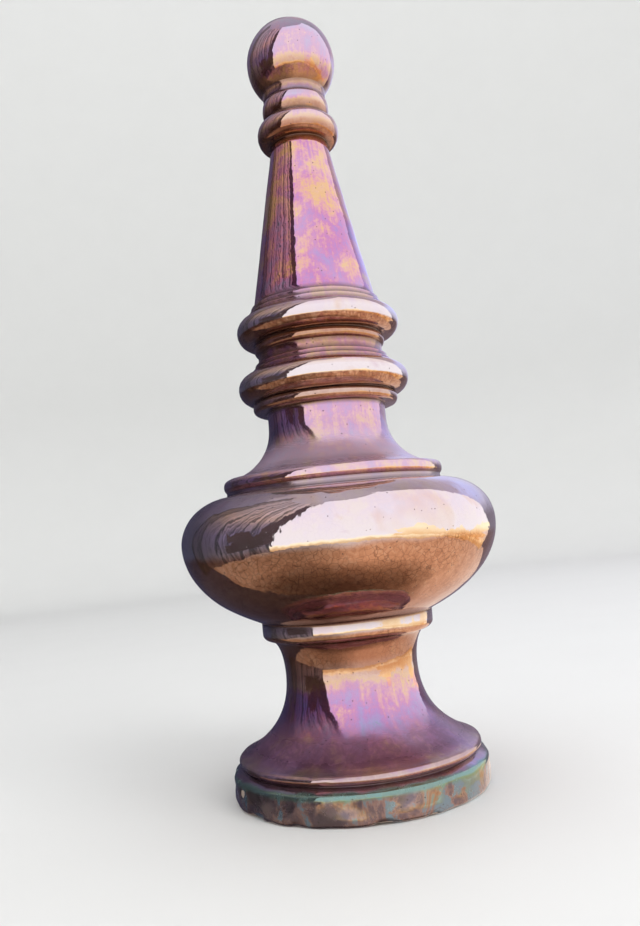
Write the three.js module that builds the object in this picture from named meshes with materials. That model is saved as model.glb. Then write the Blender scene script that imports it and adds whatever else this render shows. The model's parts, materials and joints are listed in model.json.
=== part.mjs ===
// A glazed terracotta roof finial, thrown as one hollow round piece and fired with its own plinth disc.
// It has, from the ground up: a plinth disc, a bead, a scotia foot, a collar, a full bulge, a crown ring,
// a cavetto neck, two torus rings with their fillets and steps, a tapering spire, a small torus,
// an astragal and a ball. It sits over a spigot on the roof, which enters the hollow from below.
// Millimetres, +Z up. The origin is the centre of the underside, and the piece is turned about Z.
// Every height below is a moulding's own, and each moulding stands on the one before it.

import * as THREE from "three";

// Fineness of the faceted solid: sides round the axis, and steps along large and small curves.
const SIDES = 36;
const LARGE_STEPS = 5;
const SMALL_STEPS = 3;
const EDGE_STEPS = 2;

// Wall of fired clay round the hollow.
const WALL = 10;

// How far a rounded moulding turns above and below level, in degrees.
const MOULDING_TURN = 78;

// Plinth disc, with a worn lower edge and a rounded upper edge.
const PLINTH_RADIUS = 78;
const PLINTH_HEIGHT = 17.5;
const PLINTH_LOWER_EDGE = 3;
const PLINTH_UPPER_EDGE = 1.5;

// Groove over the plinth, and the bead that stands on it.
const GROOVE_HEIGHT = 2.5;
const BEAD_RADIUS = 74.4;
const BEAD_HEIGHT = 6.2;
const BEAD_SWELL = 3.8;

// Scotia foot: it leaves the bead on a slope and sweeps in to its waist, then flares under the collar.
const FOOT_SLOPE_REACH = 16;
const FOOT_SLOPE_RISE = 8;
const FOOT_SWEEP = 26;
const FOOT_FLARE_HEIGHT = 45.8;
const FOOT_WAIST_RADIUS = 41;
const FOOT_RISE_HEIGHT = 20.8;

// Collar under the bulge.
const COLLAR_RADIUS = 53.4;
const COLLAR_HEIGHT = 11.4;
const COLLAR_EDGE = 4.5;

// Bulge: a deep half-ellipse below its widest place and a flatter shoulder above it.
const BULGE_RADIUS = 98.6;
const BULGE_DEPTH = 61;
const SHOULDER_REACH = 28.6;
const SHOULDER_HEIGHT = 27.2;

// Crown ring over the bulge, on a low seat.
const CROWN_SEAT_HEIGHT = 3.3;
const CROWN_RADIUS = 69.5;
const CROWN_HEIGHT = 7.7;
const CROWN_SWELL = 2.5;
const CROWN_SEAT_RADIUS = 68;

// Cavetto neck over the crown ring: it flares out at its foot, and is straight at its top.
const CAVETTO_HEIGHT = 31.3;
const CAVETTO_FLARE = 26;
const CAVETTO_TURN = 71.5;
const NECK_RADIUS = 37.8;
const NECK_HEIGHT = 9.8;

// Lower torus, with a half-round fillet below it and two steps above it.
const LOWER_FILLET_RADIUS = 46.5;
const LOWER_FILLET_HEIGHT = 6.8;
const LOWER_TORUS_RADIUS = 54.7;
const LOWER_TORUS_HEIGHT = 18;
const LOWER_STEP_RADIUS = 44.6;
const LOWER_STEP_HEIGHT = 3.3;

// Waist between the two torus rings.
const WAIST_RADIUS = 40;
const WAIST_HEIGHT = 6.8;

// Upper torus, with a half-round fillet below it and two steps above it.
const UPPER_FILLET_RADIUS = 42.2;
const UPPER_FILLET_HEIGHT = 6.5;
const UPPER_TORUS_RADIUS = 52.2;
const UPPER_TORUS_HEIGHT = 16.5;
const UPPER_STEP_RADIUS = 43.6;
const UPPER_STEP_HEIGHT = 3.7;

// Each upper step is set in from the one below it,
// and a torus stands on a core a little wider than its steps.
const STEP_INSET = 1.9;
const TORUS_LEDGE = 0.8;

// How far the fillet under the lower torus swells out.
const FILLET_SWELL = 2.4;

// Spire, a straight cone.
const SPIRE_FOOT_RADIUS = 39.8;
const SPIRE_TIP_RADIUS = 18.6;
const SPIRE_HEIGHT = 109.1;

// Small torus over the spire, with two thin steps above it.
const CAP_TORUS_RADIUS = 26.8;
const CAP_TORUS_HEIGHT = 15;
const CAP_STEP_RADIUS = 21.4;
const CAP_STEP_HEIGHT = 1.2;
const CAP_STEP_INSET = 1;

// Astragal under the ball, the fillet between them, and the ball.
const ASTRAGAL_RADIUS = 21.9;
const ASTRAGAL_HEIGHT = 13;
const ASTRAGAL_SWELL = 2.5;
const BALL_FILLET_RADIUS = 20.6;
const BALL_FILLET_HEIGHT = 6;
const BALL_RADIUS = 29.3;

function toRadians(angle) {
  return THREE.MathUtils.degToRad(angle);
}

function toDegrees(angle) {
  return THREE.MathUtils.radToDeg(angle);
}

// A place on the profile: its distance from the axis and its height.
function at(radius, height) {
  return new THREE.Vector2(radius, height);
}

// Points along part of an ellipse. Angles are in degrees: 0 is outwards from the axis and 90 is up.
function ellipse(centre, reach, rise, from, to, steps) {
  const clockwise = to < from;
  const curve = new THREE.EllipseCurve(
    centre.x, centre.y, reach, rise, toRadians(from), toRadians(to), clockwise,
  );
  return curve.getPoints(steps);
}

// A rounded moulding that swells from its core radius out to its full radius.
function rounded(core, radius, bottom, height, steps) {
  const rise = height / 2 / Math.sin(toRadians(MOULDING_TURN));
  return ellipse(at(core, bottom + height / 2), radius - core, rise, -MOULDING_TURN, MOULDING_TURN, steps);
}

// Two thin square steps of one height, the upper one set in from the lower one.
function twoSteps(radius, bottom, height, inset) {
  return [
    at(radius, bottom),
    at(radius, bottom + height),
    at(radius - inset, bottom + height),
    at(radius - inset, bottom + 2 * height),
  ];
}

// The same line of points, moved towards the inside of the clay along its normals.
function movedInwards(points, distance) {
  return points.map((point, i) => {
    const before = points[Math.max(i - 1, 0)];
    const after = points[Math.min(i + 1, points.length - 1)];
    const along = after.clone().sub(before).normalize();
    return at(point.x - along.y * distance, point.y + along.x * distance);
  });
}

// Neighbouring mouldings can share a point, so a point that repeats the one before it is left out.
function withoutRepeats(points) {
  const tooNear = 1e-3;
  return points.filter((point, i) => i === 0 || point.distanceTo(points[i - 1]) > tooNear);
}

// Heights from the ground at which each moulding starts.
const grooveBottom = PLINTH_HEIGHT;
const beadBottom = grooveBottom + GROOVE_HEIGHT;
const footBottom = beadBottom + BEAD_HEIGHT;
const footWaist = footBottom + FOOT_FLARE_HEIGHT;
const collarBottom = footWaist + FOOT_RISE_HEIGHT;
const bulgeBottom = collarBottom + COLLAR_HEIGHT;
const bulgeStart = toDegrees(Math.acos(COLLAR_RADIUS / BULGE_RADIUS));
const bulgeMiddle = bulgeBottom + BULGE_DEPTH * Math.sin(toRadians(bulgeStart));
const crownSeatBottom = bulgeMiddle + SHOULDER_HEIGHT;
const crownBottom = crownSeatBottom + CROWN_SEAT_HEIGHT;
const cavettoBottom = crownBottom + CROWN_HEIGHT;
const neckBottom = cavettoBottom + CAVETTO_HEIGHT;
const lowerFilletBottom = neckBottom + NECK_HEIGHT;
const lowerTorusBottom = lowerFilletBottom + LOWER_FILLET_HEIGHT;
const lowerStepBottom = lowerTorusBottom + LOWER_TORUS_HEIGHT;
const waistBottom = lowerStepBottom + 2 * LOWER_STEP_HEIGHT;
const upperFilletBottom = waistBottom + WAIST_HEIGHT;
const upperTorusBottom = upperFilletBottom + UPPER_FILLET_HEIGHT;
const upperStepBottom = upperTorusBottom + UPPER_TORUS_HEIGHT;
const spireBottom = upperStepBottom + 2 * UPPER_STEP_HEIGHT;
const capTorusBottom = spireBottom + SPIRE_HEIGHT;
const capStepBottom = capTorusBottom + CAP_TORUS_HEIGHT;
const astragalBottom = capStepBottom + 2 * CAP_STEP_HEIGHT;
const ballFilletBottom = astragalBottom + ASTRAGAL_HEIGHT;
const ballSeat = toDegrees(Math.acos(BALL_FILLET_RADIUS / BALL_RADIUS));
const ballMiddle = ballFilletBottom + BALL_FILLET_HEIGHT + BALL_RADIUS * Math.sin(toRadians(ballSeat));

// Radii that several mouldings share.
const beadCore = BEAD_RADIUS - BEAD_SWELL;
const shoulderRadius = BULGE_RADIUS - SHOULDER_REACH;
const lowerFilletCore = LOWER_FILLET_RADIUS - FILLET_SWELL;
const lowerCore = LOWER_STEP_RADIUS + TORUS_LEDGE;
const upperCore = UPPER_STEP_RADIUS + TORUS_LEDGE;
const capCore = CAP_STEP_RADIUS + TORUS_LEDGE;
const astragalCore = ASTRAGAL_RADIUS - ASTRAGAL_SWELL;

// The long curves, which the hollow follows too.
const footFlare = new THREE.CubicBezierCurve(
  at(beadCore, footBottom),
  at(beadCore - FOOT_SLOPE_REACH, footBottom + FOOT_SLOPE_RISE),
  at(FOOT_WAIST_RADIUS, footWaist - FOOT_SWEEP),
  at(FOOT_WAIST_RADIUS, footWaist),
).getPoints(LARGE_STEPS);
const bulgeUnder = ellipse(at(0, bulgeMiddle), BULGE_RADIUS, BULGE_DEPTH, -bulgeStart, 0, LARGE_STEPS);
const shoulder = ellipse(
  at(shoulderRadius, bulgeMiddle), SHOULDER_REACH, SHOULDER_HEIGHT, 0, 90, LARGE_STEPS,
);
const cavettoReach = CAVETTO_FLARE / (1 - Math.cos(toRadians(CAVETTO_TURN)));
const cavettoDrop = CAVETTO_HEIGHT / Math.sin(toRadians(CAVETTO_TURN));
const cavettoCentre = at(NECK_RADIUS + cavettoReach, neckBottom);
const cavetto = ellipse(
  cavettoCentre, cavettoReach, cavettoDrop, 180 + CAVETTO_TURN, 180, LARGE_STEPS,
);

function plinthAndBead() {
  const lowerCorner = at(PLINTH_RADIUS - PLINTH_LOWER_EDGE, PLINTH_LOWER_EDGE);
  const upperCorner = at(PLINTH_RADIUS - PLINTH_UPPER_EDGE, PLINTH_HEIGHT - PLINTH_UPPER_EDGE);
  return [
    ...ellipse(lowerCorner, PLINTH_LOWER_EDGE, PLINTH_LOWER_EDGE, -90, 0, EDGE_STEPS),
    ...ellipse(upperCorner, PLINTH_UPPER_EDGE, PLINTH_UPPER_EDGE, 0, 90, EDGE_STEPS),
    ...rounded(beadCore, BEAD_RADIUS, beadBottom, BEAD_HEIGHT, SMALL_STEPS + 1),
  ];
}

function footAndCollar() {
  const collarCore = COLLAR_RADIUS - COLLAR_EDGE;
  return [
    ...footFlare,
    ...ellipse(
      at(collarCore, footWaist), collarCore - FOOT_WAIST_RADIUS, FOOT_RISE_HEIGHT, 180, 90, SMALL_STEPS,
    ),
    ...ellipse(at(collarCore, collarBottom + COLLAR_EDGE), COLLAR_EDGE, COLLAR_EDGE, -90, 0, EDGE_STEPS),
  ];
}

function bulgeAndCrown() {
  return [
    ...bulgeUnder,
    ...shoulder,
    at(CROWN_SEAT_RADIUS, crownSeatBottom),
    at(CROWN_SEAT_RADIUS, crownBottom),
    ...rounded(CROWN_RADIUS - CROWN_SWELL, CROWN_RADIUS, crownBottom, CROWN_HEIGHT, SMALL_STEPS),
  ];
}

function neckAndLowerTorus() {
  return [
    ...cavetto,
    at(NECK_RADIUS, lowerFilletBottom),
    ...rounded(lowerFilletCore, LOWER_FILLET_RADIUS, lowerFilletBottom, LOWER_FILLET_HEIGHT, SMALL_STEPS),
    ...rounded(lowerCore, LOWER_TORUS_RADIUS, lowerTorusBottom, LOWER_TORUS_HEIGHT, LARGE_STEPS),
    ...twoSteps(LOWER_STEP_RADIUS, lowerStepBottom, LOWER_STEP_HEIGHT, STEP_INSET),
  ];
}

function waistAndUpperTorus() {
  return [
    at(WAIST_RADIUS, waistBottom),
    at(WAIST_RADIUS, upperFilletBottom),
    ...rounded(WAIST_RADIUS, UPPER_FILLET_RADIUS, upperFilletBottom, UPPER_FILLET_HEIGHT, SMALL_STEPS),
    ...rounded(upperCore, UPPER_TORUS_RADIUS, upperTorusBottom, UPPER_TORUS_HEIGHT, LARGE_STEPS),
    ...twoSteps(UPPER_STEP_RADIUS, upperStepBottom, UPPER_STEP_HEIGHT, STEP_INSET),
  ];
}

function spireAndBall() {
  const sphere = ellipse(at(0, ballMiddle), BALL_RADIUS, BALL_RADIUS, -ballSeat, 90, 2 * LARGE_STEPS);
  return [
    at(SPIRE_FOOT_RADIUS, spireBottom),
    at(SPIRE_TIP_RADIUS, capTorusBottom),
    ...rounded(capCore, CAP_TORUS_RADIUS, capTorusBottom, CAP_TORUS_HEIGHT, LARGE_STEPS),
    ...twoSteps(CAP_STEP_RADIUS, capStepBottom, CAP_STEP_HEIGHT, CAP_STEP_INSET),
    ...rounded(astragalCore, ASTRAGAL_RADIUS, astragalBottom, ASTRAGAL_HEIGHT, SMALL_STEPS),
    at(BALL_FILLET_RADIUS, ballFilletBottom),
    ...sphere.slice(0, -1),
    at(0, ballMiddle + BALL_RADIUS),
  ];
}

// The hollow keeps one wall from the long curves, from the tip of the bore down to the open mouth.
function hollow() {
  const insideOfFoot = movedInwards(footFlare, WALL).reverse();
  const insideOfBulge = movedInwards([...bulgeUnder, ...shoulder.slice(1)], WALL).reverse();
  const insideOfCavetto = movedInwards(cavetto, WALL).reverse();
  return [
    at(0, capTorusBottom),
    at(SPIRE_TIP_RADIUS - WALL, capTorusBottom),
    at(NECK_RADIUS - WALL, spireBottom),
    ...insideOfCavetto,
    ...insideOfBulge,
    at(FOOT_WAIST_RADIUS - WALL, collarBottom - WALL),
    ...insideOfFoot,
    at(PLINTH_RADIUS - WALL, 0),
  ];
}

const profile = withoutRepeats([
  ...hollow(),
  ...plinthAndBead(),
  ...footAndCollar(),
  ...bulgeAndCrown(),
  ...neckAndLowerTorus(),
  ...waistAndUpperTorus(),
  ...spireAndBall(),
]);

const lustre = new THREE.MeshStandardMaterial({
  name: "copper lustre glaze",
  color: 0x9a6a55,
  roughness: 0.12,
  metalness: 0.9,
});

const finial = new THREE.Mesh(new THREE.LatheGeometry(profile, SIDES), lustre);
finial.name = "finial";
finial.rotation.x = Math.PI / 2;

const group = new THREE.Group();
group.add(finial);

export default group;
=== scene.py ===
"""A glazed roof finial in copper lustre, dressed for the studio.

The finial is one fired clay piece, turned about an upright axis: a plinth disc with a bead, a waisted
foot, a collar, a full bulge, a crown ring, a cavetto neck, two torus rings, a tapering spire, a small
torus, an astragal and a ball. The skin is a mirror-bright copper lustre with clouds of gold, rose,
violet and blue. Sizes of the form are in millimetres and everything in Blender is in metres.
"""

from __future__ import annotations

import json
import logging
import math
from dataclasses import dataclass
from enum import Enum

import bpy
import numpy as np
from mathutils import Matrix, Vector

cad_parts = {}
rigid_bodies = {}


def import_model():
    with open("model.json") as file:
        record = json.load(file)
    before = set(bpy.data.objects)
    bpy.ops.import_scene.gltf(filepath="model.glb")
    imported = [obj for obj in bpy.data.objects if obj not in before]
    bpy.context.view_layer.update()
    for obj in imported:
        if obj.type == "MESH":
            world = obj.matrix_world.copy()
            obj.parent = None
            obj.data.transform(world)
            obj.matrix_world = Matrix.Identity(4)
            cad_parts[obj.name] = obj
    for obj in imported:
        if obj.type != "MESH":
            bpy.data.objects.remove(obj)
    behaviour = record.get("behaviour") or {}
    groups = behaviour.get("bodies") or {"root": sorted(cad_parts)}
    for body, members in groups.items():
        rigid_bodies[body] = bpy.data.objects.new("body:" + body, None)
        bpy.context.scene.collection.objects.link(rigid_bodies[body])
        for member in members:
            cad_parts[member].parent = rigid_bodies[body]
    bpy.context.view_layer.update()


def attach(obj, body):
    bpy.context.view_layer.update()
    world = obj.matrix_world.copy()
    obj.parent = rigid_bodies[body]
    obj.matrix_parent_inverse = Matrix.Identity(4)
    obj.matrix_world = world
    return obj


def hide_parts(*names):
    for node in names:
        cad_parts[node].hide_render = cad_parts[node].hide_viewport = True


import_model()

LOG = logging.getLogger("finial")
MM = 0.001
NODE = "finial"
SLOT = "copper_lustre_glaze"

Point = tuple[float, float]
Colour = tuple[float, float, float]


def arc(centre: Point, reach: float, rise: float, start: float, end: float) -> list[Point]:
    """Points along part of an ellipse, about one for every two degrees.

    Args:
        centre: Distance from the axis and height of the middle, in millimetres.
        reach: Half width of the ellipse.
        rise: Half height of the ellipse.
        start: First angle in degrees, where 0 is outwards from the axis and 90 is up.
        end: Last angle in degrees.

    Returns:
        The points, from the first angle to the last.
    """
    steps = max(2, round(abs(end - start) / 2))
    angles = np.radians(np.linspace(start, end, steps + 1))
    return [(centre[0] + reach * math.cos(a), centre[1] + rise * math.sin(a)) for a in angles]


def half_round(core: float, radius: float, bottom: float, height: float, turn: float = 78) -> list[Point]:
    """Points along a moulding that swells from a core out to its full radius.

    Args:
        core: Radius of the core that the moulding stands on.
        radius: Full radius of the moulding.
        bottom: Height at which it starts.
        height: How tall it is.
        turn: How far it turns above and below level, in degrees.

    Returns:
        The points, from its bottom to its top.
    """
    rise = height / 2 / math.sin(math.radians(turn))
    return arc((core, bottom + height / 2), radius - core, rise, -turn, turn)


def two_steps(radius: float, bottom: float, height: float, inset: float) -> list[Point]:
    """Points along two thin square steps, the upper one set in from the lower one.

    Args:
        radius: Radius of the lower step.
        bottom: Height at which the lower step starts.
        height: How tall each step is.
        inset: How far the upper step is set in.

    Returns:
        The four corners, from the bottom to the top.
    """
    return [
        (radius, bottom),
        (radius, bottom + height),
        (radius - inset, bottom + height),
        (radius - inset, bottom + 2 * height),
    ]


def cubic(points: list[Point], steps: int = 60) -> list[Point]:
    """Points along a cubic curve that four points steer.

    Args:
        points: The start, the two steering points and the end.
        steps: How many steps to take.

    Returns:
        The points, from the start to the end.
    """
    t = np.linspace(0, 1, steps + 1)[:, None]
    a, b, c, d = (np.array(p) for p in points)
    line = (1 - t) ** 3 * a + 3 * (1 - t) ** 2 * t * b + 3 * (1 - t) * t**2 * c + t**3 * d
    return [tuple(p) for p in line]


def moved_inwards(points: list[Point], distance: float) -> list[Point]:
    """The same line, moved towards the inside of the clay along its normals.

    Args:
        points: A line that runs upwards with the clay on its left.
        distance: How far to move it.

    Returns:
        The moved points.
    """
    line = np.array(points)
    along = np.gradient(line, axis=0)
    along /= np.linalg.norm(along, axis=1)[:, None]
    moved = line + distance * np.stack([-along[:, 1], along[:, 0]], axis=1)
    return [tuple(p) for p in moved]


@dataclass(frozen=True)
class Plinth:
    """Plinth disc with a worn lower edge, the groove over it and the bead on top."""

    radius: float = 78
    disc_height: float = 17.5
    lower_edge: float = 2.4
    upper_edge: float = 2.2
    groove_height: float = 2.5
    bead_radius: float = 74.4
    bead_height: float = 6.2
    bead_swell: float = 3.8
    wall: float = 10

    @property
    def height(self) -> float:
        """Full height of the plinth with its bead."""
        return self.disc_height + self.groove_height + self.bead_height

    @property
    def bead_core(self) -> float:
        """Radius of the core under the bead."""
        return self.bead_radius - self.bead_swell

    def outline(self, bottom: float) -> list[Point]:
        """Outline of the disc and the bead.

        Args:
            bottom: Height at which the plinth starts.

        Returns:
            The points, from the underside to the top of the bead.
        """
        low, high = self.lower_edge, self.upper_edge
        top = bottom + self.disc_height
        bead = top + self.groove_height
        return [
            *arc((self.radius - low, bottom + low), low, low, -90, 0),
            *arc((self.radius - high, top - high), high, high, 0, 90),
            *half_round(self.bead_core, self.bead_radius, bead, self.bead_height),
        ]


@dataclass(frozen=True)
class Foot:
    """Scotia foot that sweeps in to its waist and flares under a collar."""

    slope_reach: float = 16
    slope_rise: float = 8
    sweep: float = 26
    flare_height: float = 45.8
    waist_radius: float = 41
    rise_height: float = 20.8
    collar_radius: float = 53.4
    collar_height: float = 11.4
    collar_edge: float = 4.5

    @property
    def height(self) -> float:
        """Full height of the foot with its collar."""
        return self.flare_height + self.rise_height + self.collar_height

    def flare(self, bottom: float, start_radius: float) -> list[Point]:
        """The long curve from the bead in to the waist.

        Args:
            bottom: Height at which the foot starts.
            start_radius: Radius of the core that it grows from.

        Returns:
            The points, from the bead to the waist.
        """
        waist = bottom + self.flare_height
        return cubic([
            (start_radius, bottom),
            (start_radius - self.slope_reach, bottom + self.slope_rise),
            (self.waist_radius, waist - self.sweep),
            (self.waist_radius, waist),
        ])

    def outline(self, bottom: float, start_radius: float) -> list[Point]:
        """The whole foot, from the bead to the lower edge of the collar.

        Args:
            bottom: Height at which the foot starts.
            start_radius: Radius of the core that it grows from.

        Returns:
            The points, from the bottom to the collar.
        """
        waist = bottom + self.flare_height
        collar = waist + self.rise_height
        core = self.collar_radius - self.collar_edge
        return [
            *self.flare(bottom, start_radius),
            *arc((core, waist), core - self.waist_radius, self.rise_height, 180, 90),
            *arc((core, collar + self.collar_edge), self.collar_edge, self.collar_edge, -90, 0),
        ]


@dataclass(frozen=True)
class Bulge:
    """Full bulge with a flatter shoulder, and the crown ring on its low seat."""

    radius: float = 98.2
    depth: float = 61
    shoulder_reach: float = 28.6
    shoulder_height: float = 27.2
    seat_radius: float = 68
    seat_height: float = 3.3
    crown_radius: float = 69.5
    crown_height: float = 7.7
    crown_swell: float = 2.5

    def middle(self, bottom: float, start_radius: float) -> float:
        """Height of the widest place.

        Args:
            bottom: Height at which the bulge starts.
            start_radius: Radius of the collar below it.

        Returns:
            The height in millimetres.
        """
        return bottom + self.depth * math.sin(math.acos(start_radius / self.radius))

    def height(self, start_radius: float) -> float:
        """Full height of the bulge with the crown ring, over a collar of this radius."""
        return self.middle(0, start_radius) + self.shoulder_height + self.seat_height + self.crown_height

    def body(self, bottom: float, start_radius: float) -> list[Point]:
        """The bulge itself, from the collar to the top of its shoulder.

        Args:
            bottom: Height at which the bulge starts.
            start_radius: Radius of the collar below it.

        Returns:
            The points, from the collar to the seat of the crown ring.
        """
        middle = self.middle(bottom, start_radius)
        start = math.degrees(math.acos(start_radius / self.radius))
        inner = self.radius - self.shoulder_reach
        return [
            *arc((0, middle), self.radius, self.depth, -start, 0),
            *arc((inner, middle), self.shoulder_reach, self.shoulder_height, 0, 90)[1:],
        ]

    def outline(self, bottom: float, start_radius: float) -> list[Point]:
        """The bulge with the seat and the crown ring.

        Args:
            bottom: Height at which the bulge starts.
            start_radius: Radius of the collar below it.

        Returns:
            The points, from the collar to the top of the crown ring.
        """
        seat = self.middle(bottom, start_radius) + self.shoulder_height
        crown = seat + self.seat_height
        return [
            *self.body(bottom, start_radius),
            (self.seat_radius, seat),
            (self.seat_radius, crown),
            *half_round(self.crown_radius - self.crown_swell, self.crown_radius, crown, self.crown_height),
        ]


@dataclass(frozen=True)
class Neck:
    """Cavetto neck: it flares out at its foot and is straight at its top."""

    cavetto_height: float = 31.3
    cavetto_flare: float = 26
    cavetto_turn: float = 71.5
    radius: float = 37.8
    straight_height: float = 9.8

    @property
    def height(self) -> float:
        """Full height of the neck."""
        return self.cavetto_height + self.straight_height

    def cavetto(self, bottom: float) -> list[Point]:
        """The hollow curve of the neck.

        Args:
            bottom: Height at which the neck starts.

        Returns:
            The points, from its wide foot up to its straight part.
        """
        turn = math.radians(self.cavetto_turn)
        reach = self.cavetto_flare / (1 - math.cos(turn))
        drop = self.cavetto_height / math.sin(turn)
        centre = (self.radius + reach, bottom + self.cavetto_height)
        return arc(centre, reach, drop, 180 + self.cavetto_turn, 180)

    def outline(self, bottom: float) -> list[Point]:
        """The whole neck, starting at this height."""
        return [*self.cavetto(bottom), (self.radius, bottom + self.height)]


@dataclass(frozen=True)
class Ring:
    """Torus ring with a half-round fillet below it and two square steps above it."""

    fillet_core: float
    fillet_radius: float
    fillet_height: float
    torus_radius: float
    torus_height: float
    step_radius: float
    step_height: float
    step_inset: float = 1.9
    ledge: float = 0.8

    @property
    def height(self) -> float:
        """Full height of the ring with its fillet and steps."""
        return self.fillet_height + self.torus_height + 2 * self.step_height

    def outline(self, bottom: float) -> list[Point]:
        """The fillet, where there is one, the torus and the steps.

        Args:
            bottom: Height at which the ring starts.

        Returns:
            The points, from the bottom to the top.
        """
        torus = bottom + self.fillet_height
        steps = torus + self.torus_height
        core = self.step_radius + self.ledge
        fillet = []
        if self.fillet_height:
            fillet = half_round(self.fillet_core, self.fillet_radius, bottom, self.fillet_height)
        return [
            *fillet,
            *half_round(core, self.torus_radius, torus, self.torus_height),
            *two_steps(self.step_radius, steps, self.step_height, self.step_inset),
        ]


@dataclass(frozen=True)
class Spire:
    """Straight round cone that carries the small torus and the ball."""

    foot_radius: float = 39.8
    tip_radius: float = 18.6
    height: float = 109.1

    def outline(self, bottom: float) -> list[Point]:
        """The two ends of the cone, starting at this height."""
        return [(self.foot_radius, bottom), (self.tip_radius, bottom + self.height)]


@dataclass(frozen=True)
class Ball:
    """Astragal, fillet and ball."""

    astragal_radius: float = 21.9
    astragal_height: float = 13
    astragal_swell: float = 2.5
    fillet_radius: float = 20.6
    fillet_height: float = 6
    radius: float = 29.3

    def outline(self, bottom: float) -> list[Point]:
        """The astragal, the fillet and the ball.

        Args:
            bottom: Height at which the astragal starts.

        Returns:
            The points, up to the top of the ball on the axis.
        """
        fillet = bottom + self.astragal_height
        seat = math.degrees(math.acos(self.fillet_radius / self.radius))
        middle = fillet + self.fillet_height + self.radius * math.sin(math.radians(seat))
        core = self.astragal_radius - self.astragal_swell
        return [
            *half_round(core, self.astragal_radius, bottom, self.astragal_height),
            (self.fillet_radius, fillet),
            *arc((0, middle), self.radius, self.radius, -seat, 90),
        ]


@dataclass(frozen=True)
class FinialForm:
    """The whole turned form: its mouldings stand one on another."""

    plinth: Plinth = Plinth()
    foot: Foot = Foot()
    bulge: Bulge = Bulge()
    neck: Neck = Neck()
    lower_ring: Ring = Ring(44.1, 46.5, 6.8, 54.7, 18, 44.6, 3.3)
    waist_radius: float = 40
    waist_height: float = 6.8
    upper_ring: Ring = Ring(40, 42.2, 6.5, 52.2, 16.5, 43.6, 3.7)
    spire: Spire = Spire()
    cap_ring: Ring = Ring(0, 0, 0, 26.8, 15, 21.4, 1.2, 1)
    ball: Ball = Ball()

    @property
    def heights(self) -> dict[str, float]:
        """How high each moulding stands over the underside.

        Returns:
            The height at which each one starts, by name.
        """
        foot = self.plinth.height
        bulge = foot + self.foot.height
        neck = bulge + self.bulge.height(self.foot.collar_radius)
        lower = neck + self.neck.height
        waist = lower + self.lower_ring.height
        upper = waist + self.waist_height
        spire = upper + self.upper_ring.height
        cap = spire + self.spire.height
        ball = cap + self.cap_ring.height
        return {
            "foot": foot, "bulge": bulge, "neck": neck, "lower_ring": lower, "waist": waist,
            "upper_ring": upper, "spire": spire, "cap_ring": cap, "ball": ball,
        }

    def outside(self) -> list[Point]:
        """The outer outline of the whole form.

        Returns:
            The points, from the underside's edge to the top of the ball.
        """
        at = self.heights
        return [
            *self.plinth.outline(0),
            *self.foot.outline(at["foot"], self.plinth.bead_core),
            *self.bulge.outline(at["bulge"], self.foot.collar_radius),
            *self.neck.outline(at["neck"]),
            *self.lower_ring.outline(at["lower_ring"]),
            (self.waist_radius, at["waist"]),
            (self.waist_radius, at["upper_ring"]),
            *self.upper_ring.outline(at["upper_ring"]),
            *self.spire.outline(at["spire"]),
            *self.cap_ring.outline(at["cap_ring"]),
            *self.ball.outline(at["ball"]),
        ]

    def inside(self) -> list[Point]:
        """The wall of the hollow, which follows the outside at the wall's thickness.

        Returns:
            The points, from its tip on the axis down to the open mouth.
        """
        at = self.heights
        wall = self.plinth.wall
        foot = moved_inwards(self.foot.flare(at["foot"], self.plinth.bead_core), wall)[::-1]
        bulge = moved_inwards(self.bulge.body(at["bulge"], self.foot.collar_radius), wall)[::-1]
        neck = moved_inwards(self.neck.cavetto(at["neck"]), wall)[::-1]
        collar = at["bulge"] - self.foot.collar_height
        return [
            (0, at["cap_ring"]),
            (self.spire.tip_radius - wall, at["cap_ring"]),
            (self.neck.radius - wall, at["spire"]),
            *neck,
            *bulge,
            (self.foot.waist_radius - wall, collar - wall),
            *foot,
            (self.plinth.radius - wall, 0),
        ]


def softened(points: list[Point], softness: float, closes_on_axis: bool = False) -> np.ndarray:
    """An outline stepped evenly and rounded at its corners, as glaze rounds clay.

    Args:
        points: The outline in millimetres.
        softness: How far the rounding reaches, in millimetres.
        closes_on_axis: Whether the last point lies on the axis, where the outline stays level.

    Returns:
        An array of distances from the axis and heights.
    """
    spacing = 0.2
    line = np.array(points)
    lengths = np.concatenate([[0], np.cumsum(np.linalg.norm(np.diff(line, axis=0), axis=1))])
    keep = np.concatenate([[True], np.diff(lengths) > 1e-9])
    line, lengths = line[keep], lengths[keep]
    steps = np.linspace(0, lengths[-1], round(lengths[-1] / spacing) + 1)
    even = np.stack([np.interp(steps, lengths, line[:, i]) for i in (0, 1)], axis=1)
    reach = math.ceil(3 * softness / spacing)
    weights = np.exp(-0.5 * (np.arange(-reach, reach + 1) * spacing / softness) ** 2)
    weights /= weights.sum()
    before = 2 * even[0] - even[reach:0:-1]
    after = 2 * even[-1] - even[-2:-reach - 2:-1]
    if closes_on_axis:
        after = even[-2:-reach - 2:-1] * [-1, 1]
    padded = np.concatenate([before, even, after])
    smooth = np.stack([np.convolve(padded[:, i], weights, "valid") for i in (0, 1)], axis=1)
    smooth[0] = even[0]
    smooth[-1, 0] = even[-1, 0]
    return smooth


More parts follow.
